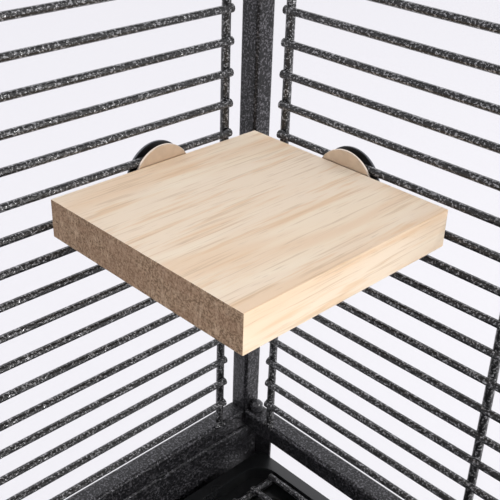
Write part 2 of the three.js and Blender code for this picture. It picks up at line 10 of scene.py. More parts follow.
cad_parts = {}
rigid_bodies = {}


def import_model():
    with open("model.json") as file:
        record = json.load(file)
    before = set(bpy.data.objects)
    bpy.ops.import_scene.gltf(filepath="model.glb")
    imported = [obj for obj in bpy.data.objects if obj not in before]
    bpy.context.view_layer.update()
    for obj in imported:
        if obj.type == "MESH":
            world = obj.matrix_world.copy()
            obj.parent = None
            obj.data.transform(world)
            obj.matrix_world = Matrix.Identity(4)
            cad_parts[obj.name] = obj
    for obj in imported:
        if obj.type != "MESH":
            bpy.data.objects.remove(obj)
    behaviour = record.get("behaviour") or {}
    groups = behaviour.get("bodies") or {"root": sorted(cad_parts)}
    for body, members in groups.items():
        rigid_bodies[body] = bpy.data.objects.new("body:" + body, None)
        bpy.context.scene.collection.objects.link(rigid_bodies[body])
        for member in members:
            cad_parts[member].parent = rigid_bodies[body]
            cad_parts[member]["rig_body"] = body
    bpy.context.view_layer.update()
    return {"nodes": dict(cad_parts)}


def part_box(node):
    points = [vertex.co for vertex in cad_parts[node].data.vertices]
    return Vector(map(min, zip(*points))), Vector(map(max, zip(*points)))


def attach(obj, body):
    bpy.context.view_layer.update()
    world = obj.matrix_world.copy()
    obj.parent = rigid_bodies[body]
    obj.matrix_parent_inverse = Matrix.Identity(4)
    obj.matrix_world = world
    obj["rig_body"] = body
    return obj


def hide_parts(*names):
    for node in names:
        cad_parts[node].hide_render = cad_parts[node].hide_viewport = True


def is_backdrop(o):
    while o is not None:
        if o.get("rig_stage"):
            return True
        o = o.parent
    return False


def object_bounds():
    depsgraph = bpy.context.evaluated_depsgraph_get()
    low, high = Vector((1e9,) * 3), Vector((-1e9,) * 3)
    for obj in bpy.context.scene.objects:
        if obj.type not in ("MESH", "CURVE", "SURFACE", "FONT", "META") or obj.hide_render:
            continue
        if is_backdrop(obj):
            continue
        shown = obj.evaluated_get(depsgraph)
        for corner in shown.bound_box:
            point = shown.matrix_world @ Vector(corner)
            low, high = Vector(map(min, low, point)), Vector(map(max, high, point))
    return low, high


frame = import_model()
MM = 0.001

# ---- Viewpoint and light -------------------------------------------------------------------------
# The eye is inside the cage, above its middle, and looks down at the back left corner.
# A soft light the size of a window stands outside the right wall, under an even pale sky.
EYE = Vector((-50.1, -80.2, 931)) * MM
HEADING, TILT, ROLL = math.radians(44.73), math.radians(-29.31), math.radians(1.97)
LENS = 65.23
NEAREST_SEEN = 10 * MM
SKY, SKY_STRENGTH = (0.95, 0.945, 0.985, 1), 1.47

eye_data = bpy.data.cameras.new("eye")
eye_data.lens = LENS
eye_data.clip_start = NEAREST_SEEN
eye = bpy.data.objects.new("eye", eye_data)
bpy.context.scene.collection.objects.link(eye)
turned_eye = Matrix.Rotation(HEADING, 4, "Z") @ Matrix.Rotation(math.pi / 2 + TILT, 4, "X")
eye.matrix_world = Matrix.Translation(EYE) @ turned_eye @ Matrix.Rotation(ROLL, 4, "Z")
bpy.context.scene.camera = eye
bpy.context.scene.view_settings.view_transform = "Standard"

sky = bpy.data.worlds.new("sky")
sky.use_nodes = True
sky.node_tree.nodes["Background"].inputs["Color"].default_value = SKY
sky.node_tree.nodes["Background"].inputs["Strength"].default_value = SKY_STRENGTH
bpy.context.scene.world = sky


def soft_light(name, place, target, size, power, colour):
    """A square light of that size that faces its target."""
    data = bpy.data.lights.new(name, "AREA")
    data.size = size
    data.energy = power
    data.color = colour
    lamp = bpy.data.objects.new(name, data)
    bpy.context.scene.collection.objects.link(lamp)
    way = Vector(target) - Vector(place)
    lamp.visible_camera = False
    lamp.matrix_world = Matrix.Translation(place) @ way.to_track_quat("-Z", "Y").to_matrix().to_4x4()


soft_light(
    "window",
    place=(3.9, 0.6, 1.9),
    target=(-0.3, 0.2, 0.75),
    size=0.8,
    power=170,
    colour=(1, 0.985, 0.96),
)


# ---- Hammertone coat -----------------------------------------------------------------------------
# All the painted steel has a black powder coat with silvery flecks and a hammered skin. It is glossy on
# the wires, duller on the
# tubes and sheets. It is made twice: the wires' copy has bright flecks, partly a painted highlight for
# their glints, and the tubes' copy darker flecks, partly painted shade.
class Socket:
    """A node's output. Arithmetic on it adds Math nodes."""

    def __init__(self, finish, output):
        self.finish = finish
        self.output = output

    def maths(self, operation, first, second):
        return self.finish.node("Math", {"operation": operation}, {0: first, 1: second})

    def __add__(self, other):
        return self.maths("ADD", self, other)

    def __sub__(self, other):
        return self.maths("SUBTRACT", self, other)

    def __rsub__(self, other):
        return self.maths("SUBTRACT", other, self)

    def __mul__(self, other):
        return self.maths("MULTIPLY", self, other)

    __radd__ = __add__
    __rmul__ = __mul__


class Finish:
    """A material whose nodes end in one Principled shader."""

    def __init__(self, name, **fixed):
        self.material = bpy.data.materials.new(name)
        self.material.use_nodes = True
        self.tree = self.material.node_tree
        self.shader = self.tree.nodes["Principled BSDF"]
        self.paint(**fixed)

    def paint(self, **inputs):
        """Sets or links the shader's sockets, their names written with _ for a space."""
        for name, value in inputs.items():
            self.feed(self.shader.inputs[name.replace("_", " ")], value)

    def feed(self, socket, value):
        if isinstance(value, Socket):
            self.tree.links.new(value.output, socket)
        else:
            socket.default_value = value

    def node(self, kind, settings, inputs, output=0):
        made = self.tree.nodes.new("ShaderNode" + kind)
        for name, value in settings.items():
            setattr(made, name, value)
        for name, value in inputs.items():
            self.feed(made.inputs[name], value)
        return Socket(self, made.outputs[output])

    def place(self, centre=(0, 0, 0), scale=(1, 1, 1), turn=(0, 0, 0)):
        """The piece's own coordinates from that centre, turned and then scaled along each axis."""
        where = self.node("TexCoord", {}, {}, "Object")
        moved = self.node("VectorMath", {"operation": "SUBTRACT"}, {0: where, 1: centre})
        return self.node("Mapping", {}, {"Vector": moved, "Rotation": turn, "Scale": scale})

    def noise(self, place, scale, detail=2, distortion=0, roughness=0.5):
        sockets = {"Vector": place, "Scale": scale, "Detail": detail, "Distortion": distortion}
        return self.node("TexNoise", {}, {**sockets, "Roughness": roughness})

    def step(self, value, low, high):
        """Runs smoothly from 0 to 1 as the value goes from low to high."""
        sockets = {"Value": value, "From Min": low, "From Max": high}
        return self.node("MapRange", {"interpolation_type": "SMOOTHSTEP"}, sockets)

    def mix(self, mask, first, second):
        """The first colour where the mask is 0, the second where it is 1."""
        return self.node("Mix", {"data_type": "RGBA"}, {0: mask, 6: first, 7: second}, 2)

    def bump(self, height, depth):
        """Raises the surface by depth where height is 1."""
        return self.node("Bump", {}, {"Height": height, "Distance": depth, "Strength": 1})


def hammertone(name, dark, fleck, size, share, shine, rough, depth):
    """Flecks cover about that share of the surface; a higher size makes them finer."""
    finish = Finish(name, Specular_IOR_Level=shine)
    here = finish.place()
    worms = finish.noise(here, size, distortion=0.4, roughness=0.55)
    cloud = finish.noise(here, 90)
    level = worms + (cloud - 0.5) * 0.05
    cut = 0.62 - 0.25 * share
    mask = finish.step(level, cut, cut + 0.06)
    hammered = finish.noise(here, 420, distortion=0.4)
    finish.paint(
        Base_Color=finish.mix(mask, dark, fleck),
        Metallic=mask * 0.4,
        Roughness=rough - mask * 0.14,
        Normal=finish.bump(worms * 0.7 + hammered, depth),
    )
    return finish.material


# Bright flecks: partly a painted highlight that stands in for the glints on the lit wires.
wire_coat_painted_glints = hammertone(
    "hammertone_coat",
    dark=(0.004, 0.004, 0.0045, 1),
    fleck=(0.3, 0.3, 0.31, 1),
    size=950,
    share=0.26,
    shine=0.5,
    rough=0.3,
    depth=0.4 * MM,
)
# Darker flecks: partly painted shade, so the tubes and sheets come out darker than the wires.
tube_coat_painted_shade = hammertone(
    "hammertone_tubes_painted_shade",
    dark=(0.006, 0.006, 0.007, 1),
    fleck=(0.1, 0.098, 0.106, 1),
    size=900,
    share=0.34,
    shine=0.25,
    rough=0.34,
    depth=0.3 * MM,
)


# ---- Welded walls --------------------------------------------------------------------------------
# Each wall is one weldment: square rails at the bottom and the top, upright rods between them,
# and round wires welded to the rods' inner sides. The spot welds swell the wires' ends.
post_low, post_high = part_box("post_back_right")
HALF_W, HALF_D = post_high.x, post_high.y
RAIL, RAIL_TOP = post_low.z, post_high.z  # undersides of the lower rails, tops of the upper ones
TUBE = post_high.x - post_low.x
TUBE_ROUND = 2.1 * MM
TUBE_WALL, TUBE_SINK = 1.2 * MM, 0.8 * MM  # rim round a tube's end plate, and how deep that lies
GAP = 0.3 * MM  # between pieces that touch in use
PITCH = 16 * MM
WIRE = 3.85 * MM
WIRE_SWELL, WIRE_TIP = 1.17, 0.72  # share of a wire's radius at its welded end and its tip
WIRES = 47
WIRE_INSET = 2 * MM  # wires' centre line inside the tubes' inner faces
FIRST_WIRE = RAIL + TUBE + 18.9 * MM
ROD = 4.8 * MM
ROD_EASE = 0.5 * MM
SPOT_WELD = (5 * MM, 3 * MM, 3.8 * MM)
FOOT_APART, FOOT_OUT, FOOT_UP = 2.2 * MM, 2.6 * MM, 0.1 * MM  # welds at a rod's end
ROD_OUT = 3.5 * MM  # rods' centre line outside the wires'
END_ROD, SECOND_ROD = 18.6 * MM, 158 * MM  # from the neighbouring wall's wires
DOOR_HALF = 160 * MM  # doorway rods each side of the middle
MAIN_DOOR, UPPER_DOOR = (3, 25), (31, 41)  # wires below and above each doorway
FEEDER, FEEDER_ROD = (24, 30), 112 * MM
SHEET = 1.5 * MM
WIRES_X = HALF_W - TUBE - WIRE_INSET
WIRES_Y = HALF_D - TUBE - WIRE_INSET
STUB = 1.1 * MM  # wire past a rod's middle
AXIS_TURNS = {
    "x": Matrix.Rotation(math.pi / 2, 4, "Y"),
    "y": Matrix.Rotation(-math.pi / 2, 4, "X"),
    "z": Matrix(),
}


def wire_z(k):
    return FIRST_WIRE + k * PITCH


def take(*objs):
    """Selects just these objects, the first of them active."""
    bpy.ops.object.select_all(action="DESELECT")
    for obj in objs:
        obj.select_set(True)
    bpy.context.view_layer.objects.active = objs[0]
    return objs[0]


def settle(obj, matrix=None):
    """Puts an object's place, after a turn or move if one is given, into its mesh."""
    take(obj)
    if matrix is not None:
        obj.matrix_world = matrix @ obj.matrix_world
    bpy.ops.object.transform_apply(location=True, rotation=True, scale=True)
    return obj


def edit(obj):
    take(obj)
    bpy.ops.object.mode_set(mode="EDIT")


def leave():
    bpy.ops.object.mode_set(mode="OBJECT")
    return bpy.context.object


def pick(kind, wanted):
    """In edit mode, selects just the faces or edges that wanted(element) accepts."""
    bpy.ops.mesh.select_mode(type=kind)
    bpy.ops.mesh.select_all(action="DESELECT")
    mesh = bpy.context.object.data
    shape = bmesh.from_edit_mesh(mesh)
    for element in shape.faces if kind == "FACE" else shape.edges:
        if wanted(element):
            element.select_set(True)
    bmesh.update_edit_mesh(mesh)


def pull(move, scale=None, about=(0, 0, 0)):
    """Extrudes what is selected, then resizes its end about a point."""
    bpy.ops.mesh.extrude_region_move(TRANSFORM_OT_translate={"value": move})
    if scale:
        bpy.ops.transform.resize(value=scale, center_override=about)


def joined(pieces):
    take(*pieces)
    if len(pieces) > 1:
        bpy.ops.object.join()
    return bpy.context.object


def dressed(pieces, material):
    """The same pieces, each in that material."""
    for piece in pieces:
        piece.data.materials.clear()
        piece.data.materials.append(material)
    return pieces


def repeat(obj, count, step):
    """A row of count copies, each a step from the last."""
    take(obj)
    row = obj.modifiers.new("row", "ARRAY")
    row.count = count
    row.use_relative_offset = False
    row.use_constant_offset = True
    row.constant_offset_displace = step
    bpy.ops.object.modifier_apply(modifier="row")
    return obj


def turned(axis, at, steps, sides=12):
    """A round solid along an axis: each step is (place along it, radius). At is where its 0 lies."""
    bpy.ops.object.select_all(action="DESELECT")
    (along, radius), *others = steps
    place = {"location": (0, 0, along), "fill_type": "NGON"}
    bpy.ops.mesh.primitive_circle_add(vertices=sides, radius=radius, **place)
    obj = settle(bpy.context.object)
    edit(obj)
    bpy.ops.mesh.select_mode(type="FACE")
    bpy.ops.mesh.select_all(action="SELECT")
    for next_along, next_radius in others:
        share = next_radius / radius
        pull((0, 0, next_along - along), (share, share, 1))
        along, radius = next_along, next_radius
    bpy.ops.mesh.select_all(action="SELECT")
    bpy.ops.mesh.normals_make_consistent(inside=False)
    return settle(leave(), Matrix.Translation(at) @ AXIS_TURNS[axis])


def block(low, high):
    """A cuboid between two corners."""
    bpy.ops.object.select_all(action="DESELECT")
    low, high = Vector(low), Vector(high)
    bpy.ops.mesh.primitive_cube_add(size=1, location=(low + high) / 2)
    obj = bpy.context.object
    obj.scale = high - low
    return settle(obj)


def round_edges(obj, radius, steps=3, along=None, wanted=None):
    """Rounds the edges that lie along an axis, or those that wanted(edge) accepts, or all."""

    def lies_along(edge):
        way = edge.verts[1].co - edge.verts[0].co
        return abs(way["xyz".index(along)]) > 0.99 * way.length

    edit(obj)
    pick("EDGE", wanted or (lies_along if along else lambda edge: True))
    bpy.ops.mesh.bevel(offset=radius, segments=steps, affect="EDGES")
    return leave()


def square_tube(low, high, axis, radius=TUBE_ROUND):
    """A square tube with rounded edges and sunk plates that close its ends."""
    obj = round_edges(block(low, high), radius, 4, along=axis)
    index = "xyz".index(axis)
    edit(obj)
    pick("FACE", lambda face: abs(face.normal[index]) > 0.99)
    bpy.ops.mesh.inset(thickness=TUBE_WALL, use_individual=True)
    for sign in (-1, 1):
        pick("FACE", lambda face: face.normal[index] * sign > 0.99 and len(face.verts) > 4)
        sink = [0, 0, 0]
        sink[index] = -sign * TUBE_SINK
        pull(sink)
    return leave()


def wire(x0, x1, z):
    """A wire along x in wall coordinates: x along the wall, y outward, z up."""
    radius, swollen = WIRE / 2, WIRE_SWELL * WIRE / 2
    end = [(-STUB, WIRE_TIP * radius), (-0.4 * STUB, swollen), (STUB, swollen), (2.4 * STUB, radius)]
    steps = [(x0 + along, size) for along, size in end]
    steps += [(x1 - along, size) for along, size in reversed(end)]
    return turned("x", (0, 0, z), steps, 10)


def weld(at, size, seed, steps=(8, 6)):
    """An uneven bead of weld metal, its size along each axis."""
    bpy.ops.object.select_all(action="DESELECT")
    bpy.ops.mesh.primitive_uv_sphere_add(segments=steps[0], ring_count=steps[1], radius=0.5)
    bead = bpy.context.object
    bead.scale = size
    bead.location = at
    settle(bead)
    edit(bead)
    bpy.ops.mesh.select_all(action="SELECT")
    bpy.ops.transform.vertex_random(offset=0.12 * min(size), uniform=0.3, seed=seed)
    return leave()


def upright(x, first, last, below=0.0, above=0.0):
    """A rod across wires first to last, with a spot weld on each."""
    z0, z1 = wire_z(first) - below, wire_z(last) + above
    radius, tip = ROD / 2, ROD / 2 - ROD_EASE
    steps = [(z0, tip), (z0 + ROD_EASE, radius), (z1 - ROD_EASE, radius), (z1, tip)]
    rod = turned("z", (x, ROD_OUT, 0), steps, 12)
    beads = weld((x, 0.5 * WIRE, wire_z(first)), SPOT_WELD, first + 1)
    return [rod, repeat(beads, last - first + 1, (0, 0, PITCH))]


def wire_rows(x0, x1, first, last):
    return repeat(wire(x0, x1, wire_z(first)), last - first + 1, (0, 0, PITCH))


def rails(half):
    """The lower and upper rail of a wall."""
    made = []
    for z in (RAIL, RAIL_TOP - TUBE):
        low = (-half, WIRE_INSET, z)
        made.append(square_tube(low, (half, WIRE_INSET + TUBE, z + TUBE), "x"))
    return dressed(made, tube_coat_painted_shade)


def feet(rods):
    """The uneven welds that hold the rods' ends to the rails."""
    made = []
    for number, x in enumerate(rods):
        for z, seed in ((RAIL + TUBE, number), (RAIL_TOP - TUBE, 9 - number)):
            for side, width in ((-1, 4.2), (1, 3.4)):
                at = (x + side * FOOT_APART, FOOT_OUT, z + FOOT_UP)
                made.append(weld(at, (width * MM, 4 * MM, 4.4 * MM), seed + side, (10, 8)))
    return made


def whole_rods(rods):
    """The rods that run from rail to rail."""
    below = FIRST_WIRE - (RAIL + TUBE) + TUBE_ROUND / 2
    above = RAIL_TOP - TUBE + TUBE_ROUND / 2 - wire_z(WIRES - 1)
    return [piece for x in rods for piece in upright(x, 0, WIRES - 1, below, above)]


def wall_matrix(distance, turn):
    """From wall coordinates to the cage's."""
    out = Vector((-distance * math.sin(turn), distance * math.cos(turn), 0))
    return Matrix.Translation(out) @ Matrix.Rotation(turn, 4, "Z")


BACK = wall_matrix(WIRES_Y, 0)
LEFT = wall_matrix(WIRES_X, math.pi / 2)
FRONT = wall_matrix(WIRES_Y, math.pi)
RIGHT = wall_matrix(WIRES_X, -math.pi / 2)


def fit(obj, node, material, smooth=35):
    """Puts a finished piece in its CAD node's place, on that node's body."""
    take(obj)
    obj.name = obj.data.name = node + "_detail"
    if material:
        obj.data.materials.clear()
        obj.data.materials.append(material)
    bpy.ops.object.shade_smooth_by_angle(angle=math.radians(smooth))
    flat = obj.modifiers.new("flat", "WEIGHTED_NORMAL")
    flat.keep_sharp = True
    bpy.ops.object.modifier_apply(modifier="flat")
    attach(obj, frame["nodes"][node]["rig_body"])
    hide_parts(node)
    return obj


end_w, end_d = WIRES_X - END_ROD, WIRES_Y - END_ROD
second = WIRES_X - SECOND_ROD
rail_w, rail_d = HALF_W - TUBE - GAP, HALF_D - TUBE - GAP

back_rods = [-end_w, -second, second, end_w]
back = feet(back_rods) + whole_rods(back_rods) + [wire_rows(-end_w, end_w, 0, WIRES - 1)]
back = dressed(back, wire_coat_painted_glints) + rails(rail_w)
fit(settle(joined(back), BACK), "back_wall", None)

for node, place in (("left_wall", LEFT), ("right_wall", RIGHT)):
    side_rods = [-end_d, 0, end_d]
    side = feet(side_rods) + whole_rods(side_rods)
    side += [wire_rows(-end_d, end_d, 0, FEEDER[0]), wire_rows(-end_d, end_d, FEEDER[1], WIRES - 1)]
    for edge, end in ((-FEEDER_ROD, -end_d), (FEEDER_ROD, end_d)):
        side += upright(edge, *FEEDER, STUB, STUB)
        side.append(wire_rows(min(edge, end), max(edge, end), FEEDER[0] + 1, FEEDER[1] - 1))
    side = dressed(side, wire_coat_painted_glints) + rails(rail_d)
    fit(settle(joined(side), place), node, None)


# The front wall has two doorways and, beside each, a pierced plate that carries a turn latch.
LATCH_X = -DOOR_HALF - 9 * MM
PLATE_OUT = ROD_OUT + ROD / 2  # plates' inner faces, on the rods' outer sides
PLATE_HALF, PLATE_EDGE, PLATE_ROUND = 9 * MM, 8 * MM, 3 * MM
PLATE_SUNK = 0.4 * MM  # into the rods, for the weld
LATCH_PIN = 2 * MM  # radius


def latch_z(door):
    return wire_z(math.floor((door[0] + door[1]) / 2) + 0.5)


def apply_boolean(obj, tool, operation):
    """Cuts a tool from a piece or adds it, and removes the tool."""
    take(obj)
    change = obj.modifiers.new("change", "BOOLEAN")
    change.operation = operation
    change.solver = "EXACT"
    change.object = tool
    bpy.ops.object.modifier_apply(modifier="change")
    bpy.data.objects.remove(tool)
    return obj


def latch_plate(door):
    z = latch_z(door)
    low = (LATCH_X - PLATE_EDGE, PLATE_OUT - PLATE_SUNK, z - PLATE_HALF)
    plate = block(low, (-DOOR_HALF + ROD / 2, PLATE_OUT + SHEET, z + PLATE_HALF))
    round_edges(plate, PLATE_ROUND, 4, along="y")
    hole = [(0, LATCH_PIN + GAP), (PLATE_OUT + 5 * MM, LATCH_PIN + GAP)]
    return apply_boolean(plate, turned("y", (LATCH_X, 0, z), hole, 20), "DIFFERENCE")


front_rods = [-end_w, -DOOR_HALF, DOOR_HALF, end_w]
front = feet(front_rods) + whole_rods(front_rods)
for first, last in ((0, MAIN_DOOR[0]), (MAIN_DOOR[1], UPPER_DOOR[0]), (UPPER_DOOR[1], WIRES - 1)):
    front.append(wire_rows(-end_w, end_w, first, last))
for below, above in (MAIN_DOOR, UPPER_DOOR):
    front.append(wire_rows(-end_w, -DOOR_HALF, below + 1, above - 1))
    front.append(wire_rows(DOOR_HALF, end_w, below + 1, above - 1))
    front.append(latch_plate((below, above)))
front = dressed(front, wire_coat_painted_glints) + rails(rail_w)
fit(settle(joined(front), FRONT), "front_wall", None)


# ---- Roof ----------------------------------------------------------------------------------------
# A flat panel of wires that run front to back, butt welded to a wire along each end.
# It lies on the upper rails.
roof_low, roof_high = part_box("roof")
roof_z = (roof_low.z + roof_high.z) / 2
roof_half = PITCH * math.floor((WIRES_X + WIRE_INSET) / PITCH)
roof_end = roof_high.y - ROD / 2
ROOF_WELD = (4.6 * MM, 4.2 * MM, 3.1 * MM)


def plain_wire(axis, at, start, end, radius=WIRE / 2, sides=10):
    """A round wire with slightly rounded ends."""
    ease = 0.3 * radius
    tip = radius - ease
    steps = [(start, tip), (start + ease, radius), (end - ease, radius), (end, tip)]
    return turned(axis, at, steps, sides)


roof_count = 2 * round(roof_half / PITCH) + 1
first_roof_wire = plain_wire("y", (-roof_half, 0, roof_z), -roof_end, roof_end)
roof = [repeat(first_roof_wire, roof_count, (PITCH, 0, 0))]
for number, y in enumerate((-roof_end, roof_end)):
    roof.append(plain_wire("x", (0, y, roof_z), -roof_half - WIRE / 2, roof_half + WIRE / 2))
    bead = weld((-roof_half, y, roof_z), ROOF_WELD, number + 4)
    roof.append(repeat(bead, roof_count, (PITCH, 0, 0)))
fit(joined(roof), "roof", wire_coat_painted_glints)


# ---- Front doors and turn latches ----------------------------------------------------------------
# Each door is a small welded panel. Coils of wire at its hinge side turn on the doorway's rod.
# A flat steel finger on a riveted pin turns across the door's other side to hold it shut.
def panel(centre, half, first, last, rods):
    """The rods and wires of a door or flap."""
    made = [piece for x in rods for piece in upright(centre + x, first, last, STUB, STUB)]
    return made + [wire_rows(centre - half, centre + half, first, last)]


def coil(axis, at, radius, thick, turns):
    """Close turns of wire round an axis, which passes through at."""
    bpy.ops.object.select_all(action="DESELECT")
    sides = {"major_segments": 16, "minor_segments": 6}
    bpy.ops.mesh.primitive_torus_add(major_radius=radius, minor_radius=thick / 2, **sides)
    ring = settle(bpy.context.object, Matrix.Translation((0, 0, -thick * (turns - 1) / 2)))
    repeat(ring, turns, (0, 0, thick))
    return settle(ring, Matrix.Translation(at) @ AXIS_TURNS[axis])


DOOR_EDGE = DOOR_HALF - ROD - 2.5 * MM
HINGE_OUT = 2 * MM  # door hinges' axis outside the wires
DOOR_COIL, DOOR_COIL_WIRE = 5.5 * MM, 1.9 * MM  # radius of the turns, thickness of the wire
for node, (below, above) in (("main_door", MAIN_DOOR), ("upper_door", UPPER_DOOR)):
    door = panel(0, DOOR_EDGE, below + 1, above - 1, (-DOOR_EDGE, 0, DOOR_EDGE))
    for z in (wire_z(below + 1.5), wire_z(above - 1.5)):
        door.append(coil("z", (DOOR_HALF, HINGE_OUT, z), DOOR_COIL, DOOR_COIL_WIRE, 4))
    fit(settle(joined(door), FRONT), node, wire_coat_painted_glints)


def plated(name, tint, rough, mottle):
    """Zinc plate, mottled by that share, with fine scratches."""
    finish = Finish(name, Metallic=1)
    here = finish.place()
    spangle = finish.noise(here, 240, detail=3)
    scratches = finish.noise(finish.place(scale=(1, 0.06, 1), turn=(0.3, 0.2, 0.7)), 2600, detail=1)
    dull = tuple((1 - mottle) * part for part in tint[:3]) + (1,)
    finish.paint(
        Base_Color=finish.mix(finish.step(spangle, 0.35, 0.65), dull, tint),
        Roughness=rough + 0.4 * mottle * spangle + 0.08 * scratches,
        Normal=finish.bump(scratches, 0.02 * MM),
    )
    return finish.material


def bends_sharply(edge):
    """True for an edge whose faces meet at more than about a radian."""
    return edge.calc_face_angle(0) > 1


FINGER_HALF, FINGER_THICK, FINGER_LONG, FINGER_TAIL = 4.5 * MM, 2.4 * MM, 26 * MM, 5 * MM
RIVET = 3.4 * MM  # radius of the pin's inner head
zinc = plated("zinc_steel", tint=(0.78, 0.76, 0.72, 1), rough=0.2, mottle=0.28)
for node, door in (("main_latch", MAIN_DOOR), ("upper_latch", UPPER_DOOR)):
    z, outer = latch_z(door), PLATE_OUT + SHEET + GAP
    low = (LATCH_X - FINGER_HALF, outer, z - FINGER_TAIL)
    finger = block(low, (LATCH_X + FINGER_HALF, outer + FINGER_THICK, z + FINGER_LONG))
    round_edges(finger, FINGER_HALF - 0.1 * MM, 6, along="y")
    round_edges(finger, 0.5 * MM, 2, wanted=bends_sharply)
    head = [(0, 7), (2.4, 7), (3.2, 5.8), (3.4, 3.5)]
    head = [(outer + along * MM, radius * MM) for along, radius in head]
    boss = turned("y", (LATCH_X, 0, z), head, 28)
    inside, shoulder = PLATE_OUT - 2.4 * MM, PLATE_OUT - 0.8 * MM
    pin = [(inside, 2.2 * MM), (inside + 0.6 * MM, RIVET), (shoulder, RIVET)]
    pin += [(shoulder, LATCH_PIN), (outer + 1 * MM, LATCH_PIN)]
    latch = joined([finger, boss, turned("y", (LATCH_X, 0, z), pin, 20)])
    fit(settle(latch, FRONT), node, zinc)


# ---- Feeder flaps and feed cups ------------------------------------------------------------------
# A flap hangs by two coils from the wire over its opening, and its bottom bar stops on the rods
# outside. A moulded cup hangs inside, by two hooks over the wire under the opening.
FLAP_EDGE = FEEDER_ROD / 2 - ROD - 1.5 * MM
FLAP_COIL, FLAP_COIL_WIRE, COIL_INSET = 3.55 * MM, 1.7 * MM, 14 * MM
COIL_TAIL, STOP_ARM = 1.6 * MM, 1.9 * MM  # radii
CUP_WIDTH, CUP_DEPTH, CUP_HEIGHT = 92 * MM, 74 * MM, 55 * MM
CUP_CORNER, CUP_WALL, CUP_TAPER = 14 * MM, 2.2 * MM, 0.86
HOOK_APART, HOOK_HALF, HOOK_FALL, HOOK_ROOT = 22 * MM, 5 * MM, 7 * MM, 3 * MM


def feeder_flap(centre):
    first, last = FEEDER[0] + 1, FEEDER[1] - 1
    flap = panel(centre, FLAP_EDGE, first, last, (-FLAP_EDGE, FLAP_EDGE))
    hinge = wire_z(FEEDER[1])
    for x in (centre - FLAP_EDGE + COIL_INSET, centre + FLAP_EDGE - COIL_INSET):
        flap.append(coil("x", (x, 0, hinge), FLAP_COIL, FLAP_COIL_WIRE, 3))
        flap.append(plain_wire("z", (x, 0, 0), wire_z(last), hinge - 3.6 * MM, COIL_TAIL))
    stop = ROD_OUT + ROD / 2 + GAP + WIRE / 2
    bar_z = wire_z(first) + ROD / 2
    reach = FEEDER_ROD / 2 - 0.5 * MM
    flap.append(plain_wire("x", (centre, stop, bar_z), -reach, reach))
    for x in (centre - FLAP_EDGE, centre + FLAP_EDGE):
        flap.append(plain_wire("y", (x, 0, bar_z), ROD_OUT, stop, STOP_ARM))
    return joined(flap)


def plastic(name, colour, rough, grain):
    """A moulded plastic with a fine spark-etched grain and slightly uneven gloss."""
    finish = Finish(name, Specular_IOR_Level=0.5)
    here = finish.place()
    cloud = finish.noise(here, 35, detail=3)
    lighter = tuple(1.5 * part for part in colour[:3]) + (1,)
    finish.paint(
        Base_Color=finish.mix(cloud * 0.6, colour, lighter),
        Roughness=rough + 0.16 * (cloud - 0.5),
        Normal=finish.bump(finish.noise(here, 1500, detail=1), grain),
    )
    return finish.material


cup_plastic = plastic("cup_plastic", (0.045, 0.047, 0.052, 1), rough=0.36, grain=0.04 * MM)


def at_heights(*heights):
    """A test for edges whose ends lie at one of those heights."""

    def lies_there(edge):
        return all(min(abs(v.co.z - z) for z in heights) < 1e-6 for v in edge.verts)

    return lies_there


def feed_cup(centre):
    """A tapered cup: a rounded block, hollowed through its top, and its two hooks."""
    top = wire_z(FEEDER[0]) + WIRE / 2 + GAP
    rear = -WIRE / 2 - GAP
    middle = (centre, rear - CUP_DEPTH / 2, 0)
    low = (centre - CUP_WIDTH / 2, rear - CUP_DEPTH, top - CUP_HEIGHT)
    cup = block(low, (centre + CUP_WIDTH / 2, rear, top))
    round_edges(cup, CUP_CORNER, 7, along="z")
    edit(cup)
    pick("FACE", lambda face: face.normal.z < -0.99)
    bpy.ops.transform.resize(value=(CUP_TAPER, CUP_TAPER, 1), center_override=middle)
    pick("FACE", lambda face: face.normal.z > 0.99)
    bpy.ops.mesh.inset(thickness=CUP_WALL)
    pull((0, 0, CUP_WALL - CUP_HEIGHT), (CUP_TAPER, CUP_TAPER, 1), middle)
    leave()
    bottom = top - CUP_HEIGHT
    round_edges(cup, 3 * MM, 4, wanted=at_heights(bottom, bottom + CUP_WALL))
    round_edges(cup, 0.9 * MM, 3, wanted=at_heights(top))
    parts = [cup]
    out = WIRE / 2 + GAP
    for x in (centre - HOOK_APART, centre + HOOK_APART):
        for near, far, z0, z1 in (
            (rear - CUP_WALL, rear, top - HOOK_ROOT, top + CUP_WALL),
            (rear - CUP_WALL, out + CUP_WALL, top, top + CUP_WALL),
            (out, out + CUP_WALL, top - HOOK_FALL, top + CUP_WALL),
        ):
            bar = block((x - HOOK_HALF, near, z0), (x + HOOK_HALF, far, z1))
            parts.append(round_edges(bar, 0.4 * MM, 2))
    return joined(parts)


for side, place, sign in (("left", LEFT, 1), ("right", RIGHT, -1)):
    for end, way in (("back", 1), ("front", -1)):
        centre = sign * way * FEEDER_ROD / 2
        flap = settle(feeder_flap(centre), place)
        fit(flap, f"feeder_flap_{side}_{end}", wire_coat_painted_glints)
        fit(settle(feed_cup(centre), place), f"feed_cup_{side}_{end}", cup_plastic)


